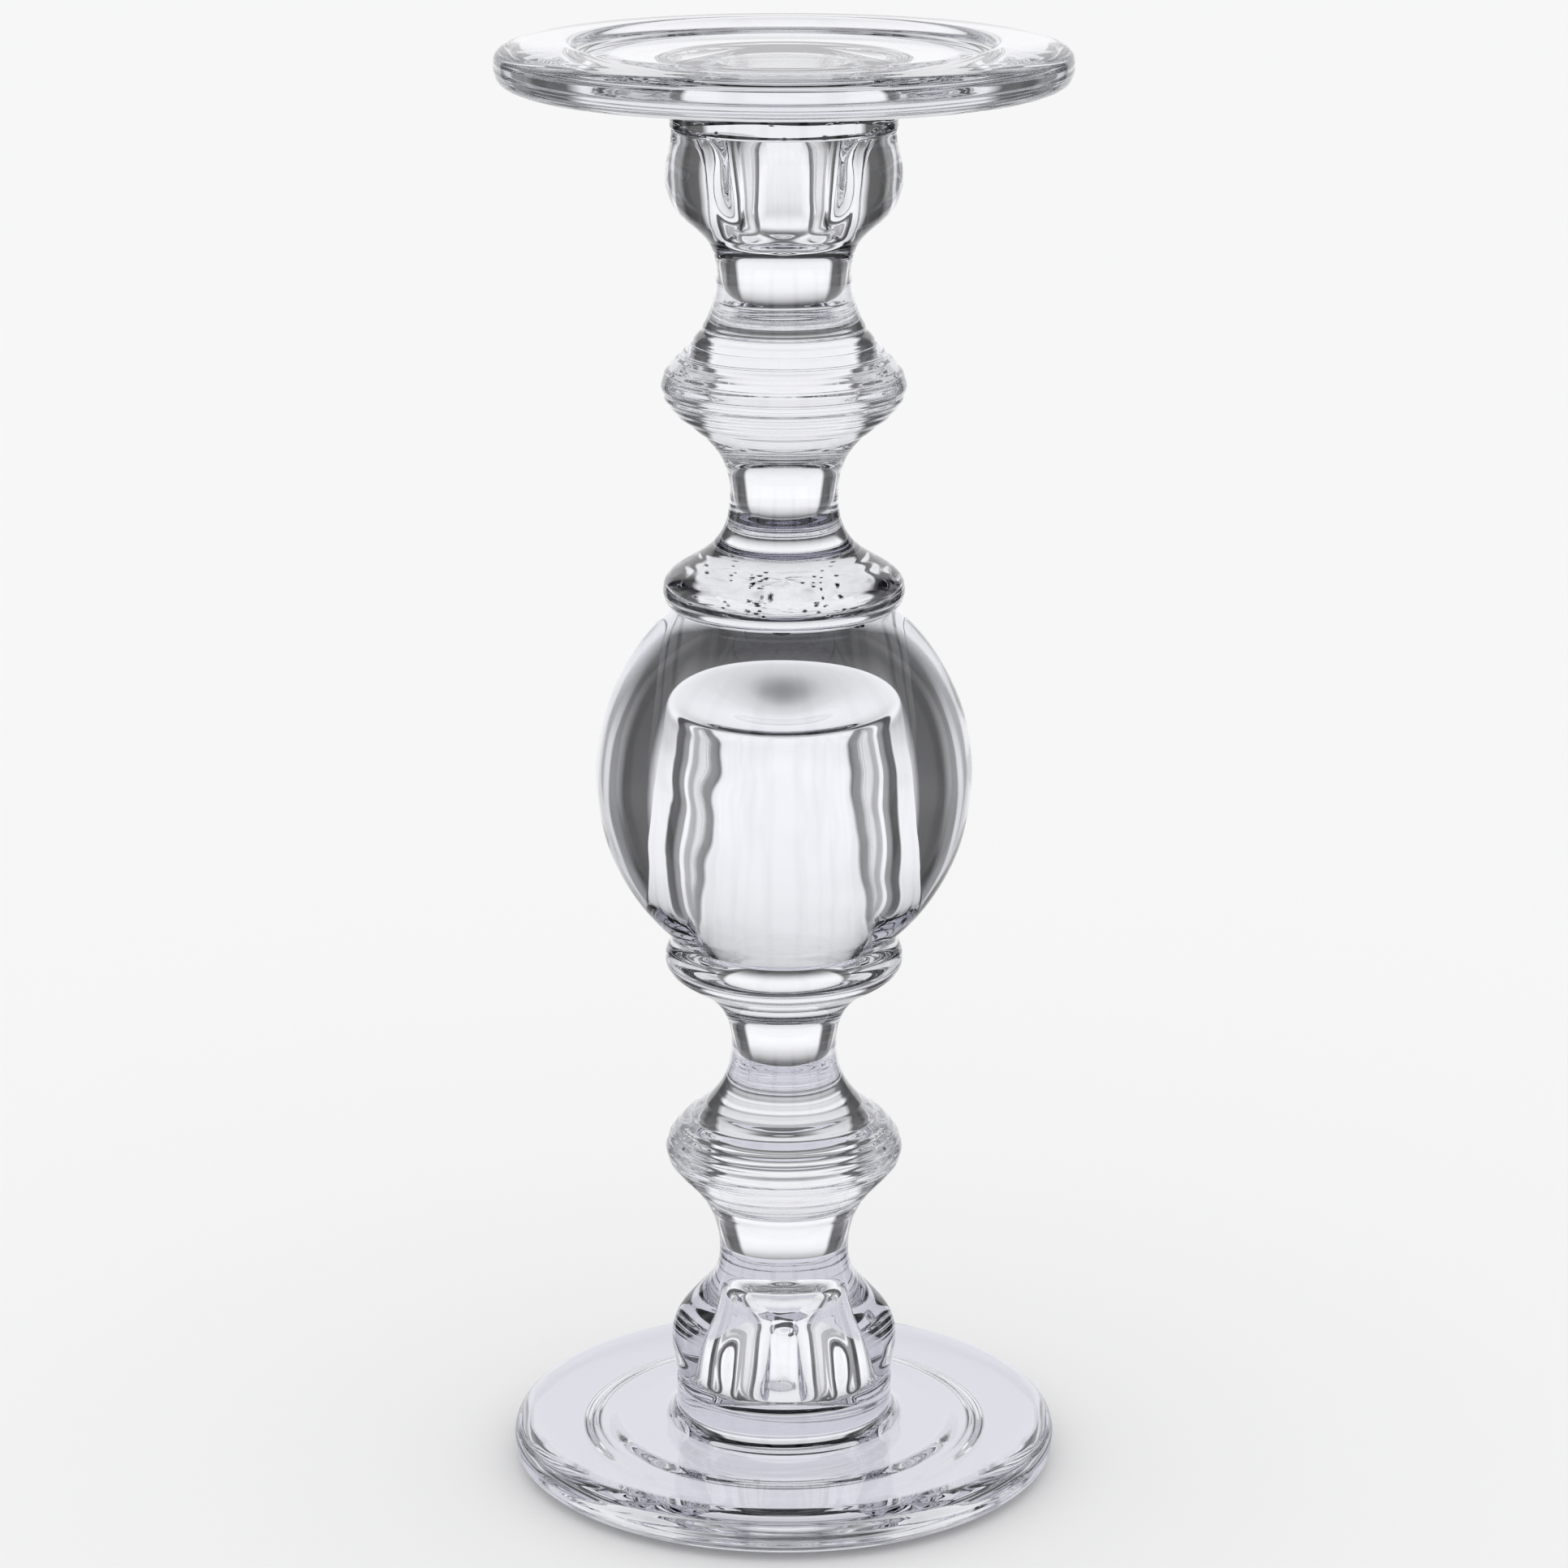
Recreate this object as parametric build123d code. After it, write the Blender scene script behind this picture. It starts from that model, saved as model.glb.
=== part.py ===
from build123d import *
import os

# Glass candlestick for a pillar candle. It is five hot-joined pieces of clear glass: a pressed
# plate, a pressed stem, a ball, the same stem upside down and the same plate as the foot.
# Origin: centre of the face that it stands on. +Z is up, and the stem's axis is the Z axis.
# Every piece of the lower half is drawn from the foot's face at z = 0, and the upper half
# is its mirror image in the plane through the ball's centre.

# ---- driving dimensions, millimetres ----
total_height = 297.0
middle = total_height / 2

# plate, used again as the foot
plate_radius = 57.0
plate_thickness = 9.0
rim_widest = 4.3            # depth below the seat side where the rim is widest
rim_flat_radius = 46.5      # the ring around the seat is flat out to here
rim_turn_radius = 50.5      # the stem side turns into the rim here
seat_radius = 43.0          # recess that the pillar candle stands in
seat_floor_radius = 39.3
seat_depth = 2.4
boss_radius = 22.6          # short round boss that the stem is joined to
boss_fillet = 3.0
stem_joint = 16.8           # height of the joint between boss and stem

# stem: bulging cup, waist, knop, waist, collar
# each station is (radius, height) where the outline runs upright
cup_rim_radius, cup_rim_top = 22.6, 19.0
cup = (23.6, 26.3)
cup_waist = (13.5, 45.5)
knop = (24.6, 68.0)
collar_waist = (10.9, 90.5)
collar = (24.5, 109.7)
ball_joint, ball_joint_radius = 113.8, 21.6

# flutes pressed into the cup, from the joint up to just below the waist
flute_count = 3
flute_joint_radius = 17.4   # distance of the flute's floor from the axis at the joint
flute_end_radius, flute_end = 15.6, 39.0
flute_half_width = 20.0

# blind socket inside the cup, closed by the boss
socket_mouth_radius = 13.2
socket_radius, socket_flare = 11.5, 4.2
socket_end_radius, socket_end = 9.7, 38.0
socket_end_round = 5.0

# ball and the closed hollow inside it
ball_radius = 38.4
ball_half_height = 42.0
hollow_mouth_radius = 18.8
hollow_end_radius, hollow_end = 16.6, 160.0
hollow_end_round = 2.5
hollow_dish = 1.5           # how far the hollow's end bulges down in the middle


def flank(start, end, start_pull, end_pull):
    """S-shaped outline between two stations, as a Bezier curve."""
    return Bezier(start, (start[0], start[1] + start_pull), (end[0], end[1] - end_pull), end)


def turned(outline):
    """Solid of revolution about Z of a closed outline in (radius, height)."""
    return revolve(Plane.XZ * make_face(outline), Axis.Z)


def make_plate():
    """Disc with a sunk seat in its outer face, a rounded rim and a boss on its inner face."""
    r_out, thick = plate_radius, plate_thickness
    floor = Line((0, seat_depth), (seat_floor_radius, seat_depth))
    step = Bezier(
        floor @ 1,
        (seat_floor_radius + 1.9, seat_depth),
        (seat_radius - 1.9, 0),
        (seat_radius, 0),
    )
    ring = Line((seat_radius, 0), (rim_flat_radius, 0))
    seat_side = Bezier(ring @ 1, (53.0, 0), (r_out, 0.6), (r_out, rim_widest))
    stem_side = Bezier(seat_side @ 1, (r_out, 7.6), (54.0, thick), (rim_turn_radius, thick))
    inside = Line((rim_turn_radius, thick), (boss_radius + boss_fillet, thick))
    fillet_curve = RadiusArc(inside @ 1, (boss_radius, thick + boss_fillet), boss_fillet)
    boss = Polyline((boss_radius, thick + boss_fillet), (boss_radius, stem_joint), (0, stem_joint), floor @ 0)
    return turned([floor, step, ring, seat_side, stem_side, inside, fillet_curve, boss])


def stem_outline():
    cup_rim = Line((cup_rim_radius, stem_joint), (cup_rim_radius, cup_rim_top))
    cup_side = Bezier(
        (cup_rim_radius, cup_rim_top),
        (cup_rim_radius + 0.4, cup_rim_top + 3),
        (cup[0], cup[1] - 3),
        cup,
    )
    collar_end = Bezier(
        collar,
        (collar[0], collar[1] + 2.2),
        (ball_joint_radius + 1.6, ball_joint - 0.4),
        (ball_joint_radius, ball_joint),
    )
    ends = Polyline(
        (ball_joint_radius, ball_joint),
        (0, ball_joint),
        (0, stem_joint),
        (cup_rim_radius, stem_joint),
    )
    return [
        cup_rim,
        cup_side,
        flank(cup, cup_waist, 10.8, 10.8),
        flank(cup_waist, knop, 14.3, 6.0),
        flank(knop, collar_waist, 8.5, 14.5),
        flank(collar_waist, collar, 14.5, 6.6),
        collar_end,
        ends,
    ]


def flute_cutter():
    """Everything outside the flute's floor, which is straight across and bulges with the cup."""
    below_joint = stem_joint - 1
    floor = Bezier(
        (flute_joint_radius, stem_joint),
        (20.2, 23.0),
        (21.8, 31.5),
        (flute_end_radius, flute_end),
    )
    outside = Polyline(
        floor @ 1,
        (30, flute_end),
        (30, below_joint),
        (flute_joint_radius, below_joint),
        floor @ 0,
    )
    side_view = make_face([floor, outside])
    return extrude(Plane.XZ * side_view, flute_half_width, both=True)


def socket():
    wall = Polyline(
        (0, stem_joint),
        (socket_mouth_radius, stem_joint),
        (socket_radius, stem_joint + socket_flare),
        (socket_end_radius, socket_end),
        (0, socket_end),
        close=True,
    )
    section = make_face(wall)
    corner = section.vertices().sort_by_distance((socket_end_radius, socket_end, 0))[0]
    return revolve(Plane.XZ * fillet(corner, socket_end_round), Axis.Z)


def make_stem():
    body = turned(stem_outline())
    for number in range(flute_count):
        facing = -90 + number * 360 / flute_count      # the first flute faces -Y
        body -= Rot(0, 0, facing) * flute_cutter()
    return body - socket()


def make_ball():
    low, high = ball_joint, total_height - ball_joint
    whole = scale(Sphere(1), by=(ball_radius, ball_radius, ball_half_height))
    slab = Cylinder(2 * ball_radius, high - low)
    ball = Pos(0, 0, middle) * (whole & slab)
    wall = Line((hollow_mouth_radius, low), (hollow_end_radius, hollow_end - hollow_end_round))
    shoulder = Bezier(
        wall @ 1,
        (hollow_end_radius - 0.1, hollow_end),
        (hollow_end_radius - 0.6, hollow_end),
        (hollow_end_radius - hollow_end_round, hollow_end),
    )
    dish = Bezier(shoulder @ 1, (hollow_end_radius / 2, hollow_end), (0, hollow_end - hollow_dish))
    rest = Polyline(dish @ 1, (0, low), wall @ 0)
    return ball - turned([wall, shoulder, dish, rest])


def upside_down(piece):
    """The same piece turned over for the upper half, with a flute still facing -Y."""
    return Pos(0, 0, total_height) * Rot(0, 180, 0) * piece


plate = make_plate()
stem = make_stem()
pieces = {
    "foot": plate,
    "lower_stem": stem,
    "ball": make_ball(),
    "upper_stem": upside_down(stem),
    "pillar_plate": upside_down(plate),
}

os.makedirs("parts", exist_ok=True)
for name, piece in pieces.items():
    export_step(piece, f"parts/{name}.step")
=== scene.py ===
"""Looks of the glass candlestick: five hot-joined pieces of clear pressed glass.

Lengths are in millimetres. Heights in a half are measured from its end face, which is the
foot's underside or the plate's top, so the upper half is the lower one turned over.
The studio is in metres.
"""
from math import pi, radians

import bmesh
import bpy
import numpy as np
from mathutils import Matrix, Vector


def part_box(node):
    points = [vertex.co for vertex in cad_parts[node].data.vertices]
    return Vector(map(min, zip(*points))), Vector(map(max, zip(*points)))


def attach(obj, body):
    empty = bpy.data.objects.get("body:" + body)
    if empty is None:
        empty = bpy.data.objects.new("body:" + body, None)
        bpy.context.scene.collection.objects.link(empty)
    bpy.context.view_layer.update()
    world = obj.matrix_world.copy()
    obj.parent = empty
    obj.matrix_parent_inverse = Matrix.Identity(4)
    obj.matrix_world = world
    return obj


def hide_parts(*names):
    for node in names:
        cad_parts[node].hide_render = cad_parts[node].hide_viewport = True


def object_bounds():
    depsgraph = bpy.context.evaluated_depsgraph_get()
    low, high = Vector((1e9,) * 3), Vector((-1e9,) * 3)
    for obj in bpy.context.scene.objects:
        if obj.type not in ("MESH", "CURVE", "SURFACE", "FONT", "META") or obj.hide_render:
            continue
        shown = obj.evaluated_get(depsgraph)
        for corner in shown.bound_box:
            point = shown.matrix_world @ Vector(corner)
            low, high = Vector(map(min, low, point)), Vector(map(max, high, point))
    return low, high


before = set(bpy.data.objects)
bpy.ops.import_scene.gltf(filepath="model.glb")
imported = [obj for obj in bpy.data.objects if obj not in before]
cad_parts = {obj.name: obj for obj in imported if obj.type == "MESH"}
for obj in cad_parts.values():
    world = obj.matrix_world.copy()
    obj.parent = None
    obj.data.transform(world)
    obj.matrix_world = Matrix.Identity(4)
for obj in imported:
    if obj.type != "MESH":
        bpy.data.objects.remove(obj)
cad_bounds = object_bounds()

MM = 0.001

# ---- sizes read from the CAD ----
total_height = cad_bounds[1][2] / MM
plate_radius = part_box("foot")[1].x / MM
stem_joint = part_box("foot")[1].z / MM
ball_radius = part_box("ball")[1].x / MM
ball_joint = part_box("ball")[0].z / MM
middle = total_height / 2

# ---- plate and foot ----
plate_thickness = 9.0
seat_depth = 2.4
seat_floor_radius, seat_radius = 39.3, 43.0
seat_step_pull = 1.9
rim_widest = 4.3            # depth below the seat side where the rim is widest
rim_turn_radius = 50.5      # the stem side turns into the rim here
rim_fall = 0.3              # how far the ring around the seat falls away towards the rim
boss_radius, boss_fillet = 22.6, 3.0
fillet_roundness = 0.55     # share of a corner that its curve is pulled to, for a round fillet
plate_unevenness = 0.10
plate_spacing = 0.45        # distance between points along the outline
# groove around the seat's floor, as (distance out from the floor's edge, extra depth)
seat_groove = ((-7.0, 0.0), (-4.0, 0.0), (-3.0, 0.8), (-0.6, 0.7))
# fine ripples on the rim, which grow to their full depth between two radii
ripple_depth, ripple_length = 0.05, 2.6
ripple_start, ripple_full = 50.0, 54.0

# ---- stem, as (radius, height) stations where the outline runs upright ----
cup_rim_top = 19.0
cup = (23.6, 26.3)
cup_waist = (13.5, 45.5)
knop = (24.6, 68.0)
collar_waist = (10.9, 90.5)
collar = (24.5, 109.7)
ball_joint_radius = 21.6
stem_unevenness = 0.10
stem_spacing = 0.5

# ---- rings that the mould left on the knop ----
ring_heights = knop[1] + np.array([-11.0, -8.6, -6.0, -3.4, 1.8, 3.6, 5.2, 7.4, 10.0])
ring_depths = np.array([0.30, 0.18, 0.36, 0.18, 0.24, 0.38, 0.20, 0.36, 0.24])
ring_width = 0.55
ring_zone = np.arange(knop[1] - 13, knop[1] + 12, 0.22)     # heights with closer points
swell_depth, swell_length = 0.18, 3.1                       # soft waves between the rings
swell_reach = 11.0                                          # they fade out this far from its middle

# ---- flutes ----
flute_count = 3
flute_joint_radius = 17.4
flute_pulls = ((20.2, 23.0), (21.8, 31.5))
flute_end_radius, flute_end = 15.6, 39.0
ridge_round = 0.9           # how softly a flute meets the round wall

# ---- blind socket in each cup ----
socket_mouth_radius, socket_radius = 13.2, 11.5
socket_end_radius, socket_end = 9.7, 38.0
socket_flare_end = 21.0
plunger_mark_radius, plunger_mark_depth = 3.0, 0.6
socket_unevenness = 0.15

# ---- ball and the closed hollow inside it ----
ball_half_height = 42.0
ball_unevenness = 0.16
hollow_mouth_radius = 18.8
hollow_bend = (17.4, 145.0)
hollow_end_radius, hollow_end = 16.6, 160.0
hollow_end_round = 3.0
hollow_dish = 2.4           # how far the hollow's end bulges down in the middle
hollow_unevenness = 0.26
hollow_spacing = 0.6        # for the sockets too

# ---- air caught in the joints ----
bubble_sizes = (0.18, 0.5)
bubble_stretch = (0.8, 1.5)
bubble_squash = 0.7
bubble_spread = 0.5         # how far above or below the joint a bubble may be
end_joint_radii = (13.8, 16.8)
ball_joint_radii = (2, 20)
pocket_reach, pocket_drop = 19.0, 1.5

columns = 240
turn_angles = np.linspace(0, 2 * pi, columns, endpoint=False) - pi / 2
GLASS, SEAM = 0, 1


# ---------------------------------------------------------------- outlines


def curve(start, pull_a, pull_b, end, count):
    """Points along a cubic Bezier curve."""
    t = np.linspace(0, 1, count)[:, None]
    a, b, c, d = (np.array(p, float) for p in (start, pull_a, pull_b, end))
    return (1 - t) ** 3 * a + 3 * (1 - t) ** 2 * t * b + 3 * (1 - t) * t**2 * c + t**3 * d


def flank(start, end, start_pull, end_pull):
    """S-shaped outline between two stations."""
    pull_a = (start[0], start[1] + start_pull)
    pull_b = (end[0], end[1] - end_pull)
    return curve(start, pull_a, pull_b, end, count=80)


def spaced(path, step):
    """The same path with points at an even spacing."""
    along = np.r_[0, np.cumsum(np.hypot(*np.diff(path, axis=0).T))]
    stops = np.linspace(0, along[-1], int(along[-1] / step) + 1)
    radius = np.interp(stops, along, path[:, 0])
    height = np.interp(stops, along, path[:, 1])
    return np.column_stack([radius, height])


def stem_outline():
    rim = [(boss_radius, stem_joint), (boss_radius, cup_rim_top)]
    side = curve(rim[1], (boss_radius + 0.4, cup_rim_top + 3), (cup[0], cup[1] - 3), cup, count=30)
    collar_end = curve(
        collar,
        (collar[0], collar[1] + 2.2),
        (ball_joint_radius + 1.6, ball_joint - 0.4),
        (ball_joint_radius, ball_joint),
        count=20,
    )
    return np.vstack(
        [
            rim,
            side[1:],
            flank(cup, cup_waist, 10.8, 10.8)[1:],
            flank(cup_waist, knop, 14.3, 6.0)[1:],
            flank(knop, collar_waist, 8.5, 14.5)[1:],
            flank(collar_waist, collar, 14.5, 6.6)[1:],
            collar_end[1:],
        ]
    )


def flute_floor(height):
    """Distance of the flutes' floor from the axis. Above the flute it runs clear of the stem."""
    floor = curve((flute_joint_radius, stem_joint), *flute_pulls, (flute_end_radius, flute_end), count=60)
    clear = [(flute_end_radius + 1.2, flute_end + 1.2), (20, flute_end + 3), (40, flute_end + 6)]
    floor = np.vstack([floor, clear])
    return np.interp(height, floor[:, 1], floor[:, 0])


def fluted(radius, height):
    """Wall of the stem at every angle: the nearer of the round wall and a flute's flat floor."""
    sector = 2 * pi / flute_count
    from_middle = (turn_angles + pi / 2 + sector / 2) % sector - sector / 2
    flat = flute_floor(height)[:, None] / np.cos(from_middle)
    blend = np.clip(0.5 + 0.5 * (flat - radius[:, None]) / ridge_round, 0, 1)
    return flat * (1 - blend) + radius[:, None] * blend - ridge_round * blend * (1 - blend)


def rippled(path):
    """Fine ripples around the plate's rim, below its smooth outline."""
    along = np.arange(len(path)) * plate_spacing
    share = np.clip((path[:, 0] - ripple_start) / (ripple_full - ripple_start), 0, 1)
    depth = 0.5 * ripple_depth * share * (1 - np.cos(2 * pi * along / ripple_length))
    slope = np.gradient(path, axis=0)
    slope = slope / np.hypot(*slope.T)[:, None]
    inwards = np.column_stack([-slope[:, 1], slope[:, 0]])
    return path + depth[:, None] * inwards


def waves(angle, height, seed, longest=40.0, shortest=14.0, lobes=6):
    """Smooth random unevenness of hand-pressed glass, between 0 and 1."""
    chance = np.random.default_rng(seed)
    total = np.zeros(np.broadcast(angle, height).shape)
    wave_count = 9
    for _ in range(wave_count):
        turn = chance.integers(0, lobes + 1)
        length = chance.uniform(shortest, longest)
        total = total + np.sin(turn * angle + 2 * pi * height / length + chance.uniform(0, 2 * pi))
    return np.clip(0.5 + total / wave_count, 0, 1)


def pressed_rings(height):
    """The mould's rings and waves on the knop, as a depth below its smooth outline."""
    grooves = ring_depths * np.exp(-(((height[:, None] - ring_heights) / ring_width) ** 2))
    near_knop = np.exp(-(((height - knop[1]) / swell_reach) ** 4))
    swell = 0.5 * swell_depth * near_knop * (1 - np.cos(2 * pi * height / swell_length))
    return grooves.sum(axis=1) + swell


# ---------------------------------------------------------------- meshes


class Shell:
    """A closed skin built from rings of points, each band of it either glass or seam."""

    def __init__(self):
        self.points = []
        self.faces = []
        self.materials = []
        self.count = 0

    def add_points(self, points):
        """Adds points and returns the first one's number."""
        points = np.asarray(points, float).reshape(-1, 3)
        first = self.count
        self.points.append(points)
        self.count += len(points)
        return first

    def add_faces(self, faces, material):
        self.faces.extend(faces.tolist())
        self.materials.extend([material] * len(faces))

    def join(self, ring_a, ring_b, material):
        """A band of faces between two rings, each given by its first point."""
        here = np.arange(columns)
        after = (here + 1) % columns
        band = np.column_stack([ring_a + here, ring_a + after, ring_b + after, ring_b + here])
        self.add_faces(band, material)

    def wall(self, rings, material):
        """Rings of points (rings, columns, 3) joined into a wall. Returns its first and last ring."""
        first = self.add_points(rings)
        for step in range(len(rings) - 1):
            self.join(first + step * columns, first + (step + 1) * columns, material)
        return first, first + (len(rings) - 1) * columns

    def cap(self, ring, height, material):
        """Closes a ring with a fan around a point on the axis."""
        centre = self.add_points([(0, 0, height)])
        here = np.arange(columns)
        after = (here + 1) % columns
        fan = np.column_stack([ring + here, ring + after, np.full(columns, centre)])
        self.add_faces(fan, material)

    def make_piece(self, name, node, turned_over):
        """Makes the object that stands in for the CAD node."""
        points = np.vstack(self.points)
        if turned_over:
            points = points * (1, 1, -1) + (0, 0, total_height)
        mesh = new_mesh(name, points, self.faces)
        mesh.polygons.foreach_set("material_index", np.array(self.materials, np.int32))
        mesh.materials.append(fused_seam)
        turn_faces(mesh, inwards=False)
        made = add_to_scene(name, mesh)
        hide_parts(node)


def new_mesh(name, points, faces):
    """A smooth glass mesh from points in millimetres."""
    mesh = bpy.data.meshes.new(name)
    mesh.from_pydata((np.asarray(points) * MM).tolist(), [], faces)
    mesh.polygons.foreach_set("use_smooth", np.ones(len(faces), bool))
    mesh.materials.append(clear_glass)
    return mesh


def turn_faces(mesh, inwards):
    """Turns every face outwards, or inwards for air inside glass."""
    tidy = bmesh.new()
    tidy.from_mesh(mesh)
    bmesh.ops.recalc_face_normals(tidy, faces=tidy.faces)
    if inwards:
        bmesh.ops.reverse_faces(tidy, faces=tidy.faces)
    tidy.to_mesh(mesh)
    tidy.free()


def add_to_scene(name, mesh):
    made = bpy.data.objects.new(name, mesh)
    bpy.context.scene.collection.objects.link(made)
    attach(made, "root")
    return made


def rings_of(radius, height):
    """Rings of points from the wall's radius (rings, columns) and the height of each ring."""
    height = np.broadcast_to(np.reshape(height, (-1, 1)), radius.shape)
    return np.stack([radius * np.cos(turn_angles), radius * np.sin(turn_angles), height], axis=-1)


def turned(path, unevenness, seed, **wave_sizes):
    """Rings of a (radius, height) path, with the wall pressed in here and there."""
    calm_radius = 8         # the unevenness fades out from here to the axis
    radius, height = path[:, :1], path[:, 1:]
    depth = unevenness * waves(turn_angles, height, seed, **wave_sizes)
    return rings_of(radius - depth * np.clip(radius / calm_radius, 0, 1), height)


def circle(radius, height):
    return rings_of(np.full((1, columns), radius), height)


# ---------------------------------------------------------------- the five pieces


def plate_outline():
    """From near the middle of the seat, around the rim, to the edge of the boss."""
    thick = plate_thickness
    groove = curve(*[(seat_floor_radius + out, seat_depth + deeper) for out, deeper in seat_groove], count=20)
    seat_step = curve(
        (seat_floor_radius, seat_depth),
        (seat_floor_radius + seat_step_pull, seat_depth),
        (seat_radius - seat_step_pull, 0),
        (seat_radius, 0),
        count=24,
    )
    seat_side = curve(
        (seat_radius + 0.5, 0),
        (54.5, rim_fall),
        (plate_radius, rim_fall + 0.1),
        (plate_radius, rim_widest),
        count=60,
    )
    stem_side = curve(
        (plate_radius, rim_widest),
        (plate_radius, thick - 1.0),
        (55.0, thick),
        (rim_turn_radius, thick),
        count=40,
    )
    corner = (1 - fillet_roundness) * boss_fillet
    fillet = curve(
        (boss_radius + boss_fillet, thick),
        (boss_radius + corner, thick),
        (boss_radius, thick + corner),
        (boss_radius, thick + boss_fillet),
        count=20,
    )
    start = [(1.5, seat_depth)]
    boss_edge = [(boss_radius, stem_joint)]
    return np.vstack([start, groove, seat_step, seat_side, stem_side[1:], fillet, boss_edge])


def make_plate(name, node, turned_over, seed):
    path = rippled(spaced(plate_outline(), plate_spacing))
    shell = Shell()
    start, rim = shell.wall(turned(path, plate_unevenness, seed, shortest=6, longest=20), GLASS)
    shell.cap(start, seat_depth, GLASS)

    just_inside = 0.03
    stem_end = fluted(np.array([boss_radius]), np.array([stem_joint])) - just_inside
    fused_edge, _ = shell.wall(rings_of(stem_end, stem_joint), GLASS)
    shell.join(rim, fused_edge, GLASS)
    mouth, _ = shell.wall(circle(socket_mouth_radius, stem_joint), SEAM)
    shell.join(fused_edge, mouth, SEAM)
    shell.cap(mouth, stem_joint, GLASS)
    shell.make_piece(name, node, turned_over)


def socket_path():
    """From the mouth to the domed end, where the plunger left its mark."""
    flare = curve(
        (socket_mouth_radius, stem_joint),
        (12.3, 17.4),
        (11.8, 19),
        (socket_radius, socket_flare_end),
        count=12,
    )
    dome = curve(
        (socket_end_radius + 0.3, socket_end - 8),
        (socket_end_radius, socket_end - 2.8),
        (7.2, socket_end - 0.3),
        (plunger_mark_radius, socket_end),
        count=24,
    )
    plunger_mark = curve(
        (plunger_mark_radius, socket_end),
        (2.0, socket_end + 0.05),
        (1.3, socket_end + 0.5),
        (0.3, socket_end + plunger_mark_depth),
        count=8,
    )
    return np.vstack([flare, dome, plunger_mark[1:]])


def make_stem(name, node, turned_over, seed):
    outline = stem_outline()
    height = np.unique(np.r_[spaced(outline, stem_spacing)[:, 1], ring_zone].round(2))
    radius = np.interp(height, outline[:, 1], outline[:, 0]) - pressed_rings(height)
    wall = fluted(radius, height) - stem_unevenness * waves(turn_angles, height[:, None], seed)
    wall[0] = fluted(radius[:1], height[:1])
    shell = Shell()
    foot_end, ball_end = shell.wall(rings_of(wall, height), GLASS)

    # the ball's hollow opens onto the lower stem, and the upper stem is fused to it all across
    mouth, _ = shell.wall(circle(hollow_mouth_radius, ball_joint), SEAM)
    shell.join(ball_end, mouth, SEAM)
    shell.cap(mouth, ball_joint, SEAM if turned_over else GLASS)

    path = socket_path()
    socket = turned(spaced(path, hollow_spacing), socket_unevenness, seed + 1, shortest=9, longest=30)
    socket[0] = circle(socket_mouth_radius, stem_joint)
    opening, bottom = shell.wall(socket, GLASS)
    shell.cap(bottom, path[-1, 1], GLASS)
    shell.join(foot_end, opening, SEAM)
    shell.make_piece(name, node, turned_over)


def hollow_path(low):
    """From the hollow's mouth to the dish in its end."""
    side = [(hollow_mouth_radius, low), hollow_bend, (hollow_end_radius, hollow_end - hollow_end_round)]
    shoulder = curve(
        side[-1],
        (hollow_end_radius, hollow_end - 0.6),
        (hollow_end_radius - 0.8, hollow_end),
        (hollow_end_radius - hollow_end_round, hollow_end),
        count=14,
    )
    dish = curve(
        shoulder[-1],
        (8, hollow_end - 0.1),
        (5.5, hollow_end - 2.2),
        (0.5, hollow_end - hollow_dish),
        count=24,
    )
    return spaced(np.vstack([side, shoulder[1:], dish[1:]]), hollow_spacing)


def make_ball(name, node):
    low, high = ball_joint, total_height - ball_joint
    tilt = np.linspace(-1, 1, 200) * np.arcsin((high - middle) / ball_half_height)
    outside = np.column_stack([ball_radius * np.cos(tilt), middle + ball_half_height * np.sin(tilt)])
    shell = Shell()
    wall = turned(outside, ball_unevenness, seed=11, shortest=12, longest=40, lobes=5)
    start, top = shell.wall(wall, GLASS)
    shell.cap(top, high, SEAM)

    path = hollow_path(low)
    hollow = turned(path, hollow_unevenness, seed=5, shortest=5, longest=26, lobes=5)
    hollow[0] = circle(hollow_mouth_radius, low)
    mouth, end = shell.wall(hollow, GLASS)
    shell.cap(end, path[-1, 1], GLASS)
    shell.join(start, mouth, SEAM)
    shell.make_piece(name, node, turned_over=False)


# ---------------------------------------------------------------- air caught in the joints


def add_air(name, points, faces):
    """Air inside glass is a closed skin whose faces look inwards."""
    mesh = new_mesh(name, points, faces)
    turn_faces(mesh, inwards=True)
    add_to_scene(name, mesh)


def bubble_points(centre, radii, across, down):
    """A squashed ball: its lowest point, rings of points, then its highest point."""
    points = [centre + radii * (0, 0, -1)]
    for row in range(1, down):
        tilt = pi * row / down
        for column in range(across):
            spin = 2 * pi * column / across
            direction = (np.sin(tilt) * np.cos(spin), np.sin(tilt) * np.sin(spin), -np.cos(tilt))
            points.append(centre + radii * direction)
    points.append(centre + radii * (0, 0, 1))
    return points


def bubble_faces(lowest, across, down):
    """Faces of a bubble whose lowest point has the given number."""
    faces = []
    first_ring = lowest + 1
    last_ring = first_ring + (down - 2) * across
    highest = last_ring + across
    for column in range(across):
        after = (column + 1) % across
        faces.append([lowest, first_ring + after, first_ring + column])
        for row in range(down - 2):
            low = first_ring + row * across
            high = low + across
            faces.append([low + column, low + after, high + after, high + column])
        faces.append([last_ring + column, last_ring + after, highest])
    return faces


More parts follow.
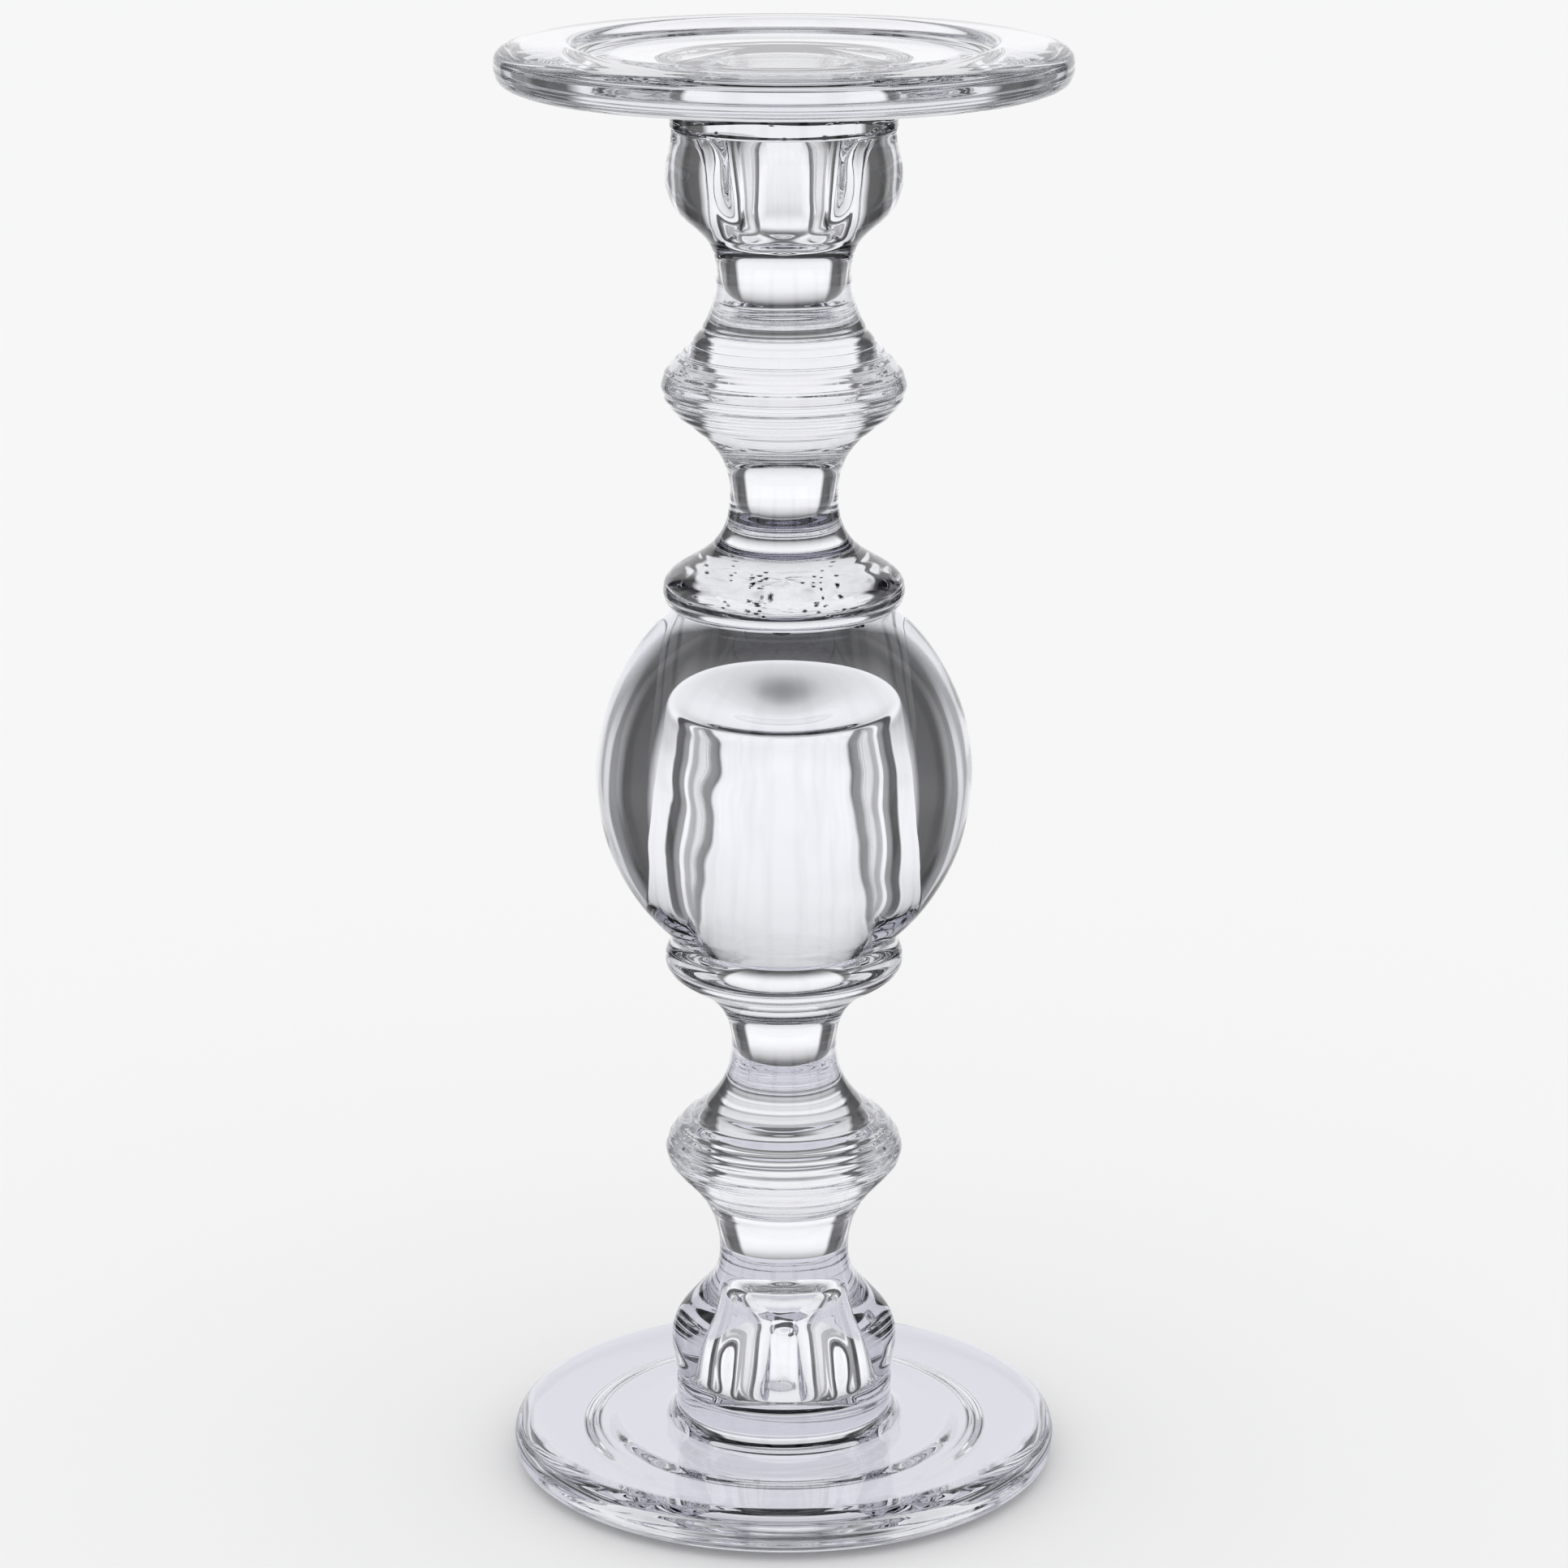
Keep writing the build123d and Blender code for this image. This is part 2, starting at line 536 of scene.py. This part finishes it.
def make_bubbles(name, height, distances, count, seed):
    """Small squashed bubbles scattered around a joint."""
    chance = np.random.default_rng(seed)
    across, down = 12, 7
    points, faces = [], []
    for _ in range(count):
        angle = chance.uniform(0, 2 * pi)
        distance = chance.uniform(*distances)
        offset = chance.uniform(-bubble_spread, bubble_spread)
        centre = np.array([distance * np.cos(angle), distance * np.sin(angle), height + offset])
        size = chance.uniform(*bubble_sizes)
        wide, deep = chance.uniform(*bubble_stretch), chance.uniform(*bubble_stretch)
        radii = size * np.array([wide, deep, bubble_squash])
        faces += bubble_faces(len(points), across, down)
        points += bubble_points(centre, radii, across, down)
    add_air(name, points, faces)


def make_air_pocket(name, height, reach, seed):
    """A thin crinkled pocket of air where the hot joint folded over."""
    shares = np.linspace(0.04, 1, 26)[:, None]
    scallops = 1 + 0.05 * np.sin(15 * turn_angles) + 0.04 * np.sin(7 * turn_angles + 1)
    radius = reach * shares * scallops
    crinkle = waves(turn_angles, 1.5 * reach * shares, seed, shortest=3, longest=9, lobes=5) - 0.5
    still_edge = 1 - shares**6
    thick = 0.45 * np.sqrt(1 - shares**4) + 0.02
    lid = height + thick + 0.20 * crinkle * still_edge
    base = height - thick + 0.16 * crinkle * still_edge
    rings = rings_of(np.vstack([radius, radius[::-1]]), 0).copy()
    rings[:, :, 2] = np.vstack([lid, base[::-1]])
    shell = Shell()
    top, bottom = shell.wall(rings, GLASS)
    shell.cap(top, lid[0].mean(), GLASS)
    shell.cap(bottom, base[0].mean(), GLASS)
    add_air(name, np.vstack(shell.points), shell.faces)


# ---------------------------------------------------------------- materials


def empty_material(name):
    material = bpy.data.materials.new(name)
    material.use_nodes = True
    material.node_tree.nodes.clear()
    output = material.node_tree.nodes.new("ShaderNodeOutputMaterial")
    return material, material.node_tree, output


def make_clear_glass():
    """Fire-polished glass: a faint cool tint and a skin that is never quite flat."""
    material, tree, output = empty_material("clear_glass")
    shader = tree.nodes.new("ShaderNodeBsdfPrincipled")
    shader.inputs["Base Color"].default_value = (0.985, 0.987, 1.0, 1)
    shader.inputs["Transmission Weight"].default_value = 1.0
    shader.inputs["IOR"].default_value = 1.51
    shader.inputs["Roughness"].default_value = 0.0
    tree.links.new(shader.outputs["BSDF"], output.inputs["Surface"])

    place = tree.nodes.new("ShaderNodeTexCoord")
    swell = tree.nodes.new("ShaderNodeTexNoise")
    swell.inputs["Scale"].default_value = 90
    swell.inputs["Detail"].default_value = 1.5
    skin = tree.nodes.new("ShaderNodeBump")
    skin.inputs["Strength"].default_value = 0.05
    skin.inputs["Distance"].default_value = 0.0002
    tree.links.new(place.outputs["Object"], swell.inputs["Vector"])
    tree.links.new(swell.outputs["Fac"], skin.inputs["Height"])
    tree.links.new(skin.outputs["Normal"], shader.inputs["Normal"])

    body = tree.nodes.new("ShaderNodeVolumeAbsorption")
    body.inputs["Color"].default_value = (0.62, 0.63, 0.70, 1)
    body.inputs["Density"].default_value = 5.5
    tree.links.new(body.outputs["Volume"], output.inputs["Volume"])
    return material


def make_fused_seam():
    """Where two pieces are fused there is no surface left, so light passes straight on."""
    material, tree, output = empty_material("fused_seam")
    shader = tree.nodes.new("ShaderNodeBsdfTransparent")
    tree.links.new(shader.outputs["BSDF"], output.inputs["Surface"])
    return material


clear_glass = make_clear_glass()
fused_seam = make_fused_seam()

make_plate("foot_glass", "foot", turned_over=False, seed=21)
make_stem("lower_stem_glass", "lower_stem", turned_over=False, seed=31)
make_ball("ball_glass", "ball")
make_stem("upper_stem_glass", "upper_stem", turned_over=True, seed=41)
make_plate("pillar_plate_glass", "pillar_plate", turned_over=True, seed=51)

make_bubbles("foot_joint_bubbles", stem_joint, end_joint_radii, count=26, seed=1)
make_bubbles("plate_joint_bubbles", total_height - stem_joint, end_joint_radii, count=30, seed=2)
make_bubbles("ball_joint_bubbles", total_height - ball_joint, ball_joint_radii, count=34, seed=3)
make_air_pocket("ball_joint_air", total_height - ball_joint - pocket_drop, pocket_reach, seed=4)


# ---------------------------------------------------------------- studio

tent_radius, tent_height, tent_brightness = 3.0, 0.15, 1.1
stand_radius, stand_drop = 0.085, 0.0008
stand_colour = (0.72, 0.72, 0.78)
floor_size, floor_drop = 200, 0.0004
floor_colour = (0.93, 0.93, 0.935)
camera_place = (0, -0.92877, 0.40648)
camera_tilt = 74.34
camera_lens, camera_sensor = 108.54, 36

# brightness of the surround, by angle from straight behind the candlestick
SIDES = (
    (0, 0.97), (30, 1.0), (34, 0.10), (46, 0.06), (51, 0.30), (57, 0.35), (59, 1.0), (63, 1.0),
    (66, 0.50), (72, 0.45), (76, 0.80), (98, 0.85), (101, 0.20), (105, 0.20), (108, 0.85), (120, 0.90),
    (123, 0.25), (127, 0.25), (130, 0.95), (154, 1.0), (157, 0.15), (163, 0.15), (166, 0.95), (180, 1.0),
)
# how it changes with the angle above the level of the candlestick
HEIGHTS = ((-90, 0.97), (-5, 0.97), (8, 0.92), (25, 0.80), (40, 0.65), (55, 0.30), (70, 0.25), (90, 0.5))
# how much of the dark table shows below it, and how dark that is by the angle from straight behind
TABLE_SHARE = ((-42, 1.0), (-34, 0.85), (-26, 0.45), (-18, 0.12), (-11, 0.0))
TABLE = ((0, 0.07), (55, 0.07), (75, 0.5), (100, 0.8), (180, 0.8))
# the pale stand hides the table in the steepest directions
STAND_SHARE = ((-58, 1.0), (-51, 0.0))
STAND = 0.86


def level(value, steps):
    """Value at an angle, between the (angle, level) steps."""
    places, levels = zip(*steps)
    return np.interp(value, places, levels)


def brightness(direction):
    """Brightness of the surround in each direction (x, y, z) from its middle."""
    x, y, z = direction.T
    azimuth = np.degrees(np.arctan2(np.abs(x), y))
    elevation = np.degrees(np.arcsin(np.clip(z, -1, 1)))
    table = level(elevation, TABLE_SHARE)
    stand = level(elevation, STAND_SHARE)
    sides = (1 - table) * level(azimuth, SIDES) * level(elevation, HEIGHTS) + table * level(azimuth, TABLE)
    return (1 - stand) * sides + stand * STAND


def only_for_glass(thing):
    """Light cards that the glass refracts and reflects, but that the camera never sees."""
    thing.visible_camera = False
    thing.visible_diffuse = False
    thing.visible_shadow = False


def glow_material(name, colour):
    """A plain glow, in one colour or in the mesh's own."""
    material, tree, output = empty_material(name)
    glow = tree.nodes.new("ShaderNodeEmission")
    if colour is None:
        painted = tree.nodes.new("ShaderNodeVertexColor")
        painted.layer_name = "brightness"
        tree.links.new(painted.outputs["Color"], glow.inputs["Color"])
    else:
        glow.inputs["Color"].default_value = (*colour, 1)
    tree.links.new(glow.outputs["Emission"], output.inputs["Surface"])
    material.cycles.emission_sampling = "NONE"
    return material


def make_surround():
    """Light tent: white behind, dark cards beside that, then pale sides with narrow dark strips."""
    bpy.ops.mesh.primitive_uv_sphere_add(
        segments=360, ring_count=120, radius=tent_radius, location=(0, 0, tent_height)
    )
    tent = bpy.context.object
    tent.name = "surround"
    mesh = tent.data
    places = np.zeros(len(mesh.vertices) * 3, np.float32)
    mesh.vertices.foreach_get("co", places)
    grey = tent_brightness * brightness(places.reshape(-1, 3) / tent_radius)
    paint = mesh.color_attributes.new("brightness", "FLOAT_COLOR", "POINT")
    colour = np.column_stack([grey, grey, grey * 1.01, np.ones_like(grey)])
    paint.data.foreach_set("color", colour.ravel())
    mesh.materials.append(glow_material("surround", None))
    only_for_glass(tent)


def make_pedestal():
    """The pale lavender stand that shows through the foot."""
    bpy.ops.mesh.primitive_circle_add(
        vertices=128, radius=stand_radius, fill_type="NGON", location=(0, 0, -stand_drop)
    )
    pedestal = bpy.context.object
    pedestal.name = "pedestal"
    pedestal.data.materials.append(glow_material("pedestal", stand_colour))
    only_for_glass(pedestal)


def make_floor():
    """The floor that the camera sees. The glass sees the surround and the stand instead."""
    bpy.ops.mesh.primitive_plane_add(size=floor_size, location=(0, 0, -floor_drop))
    floor = bpy.context.object
    floor.name = "floor"
    paper, tree, output = empty_material("floor_paper")
    shader = tree.nodes.new("ShaderNodeBsdfDiffuse")
    shader.inputs["Color"].default_value = (*floor_colour, 1)
    tree.links.new(shader.outputs["BSDF"], output.inputs["Surface"])
    floor.data.materials.append(paper)
    floor.visible_transmission = False
    floor.visible_glossy = False


def make_sky():
    world = bpy.data.worlds.new("studio")
    world.use_nodes = True
    background = world.node_tree.nodes["Background"]
    background.inputs["Color"].default_value = (1, 1, 1, 1)
    background.inputs["Strength"].default_value = 1.0
    bpy.context.scene.world = world


def make_camera():
    camera = bpy.data.cameras.new("camera")
    camera.sensor_width = camera_sensor
    camera.lens = camera_lens
    holder = bpy.data.objects.new("camera", camera)
    holder.location = camera_place
    holder.rotation_euler = (radians(camera_tilt), 0, 0)
    bpy.context.scene.collection.objects.link(holder)
    bpy.context.scene.camera = holder


def set_light_paths():
    """Enough bounces for light to cross several walls of glass."""
    scene = bpy.context.scene
    scene.cycles.max_bounces = 28
    scene.cycles.transmission_bounces = 28
    scene.cycles.glossy_bounces = 14
    scene.cycles.transparent_max_bounces = 40
    scene.cycles.use_denoising = True
    scene.view_settings.view_transform = "Standard"


make_surround()
make_pedestal()
make_floor()
make_sky()
make_camera()
set_light_paths()
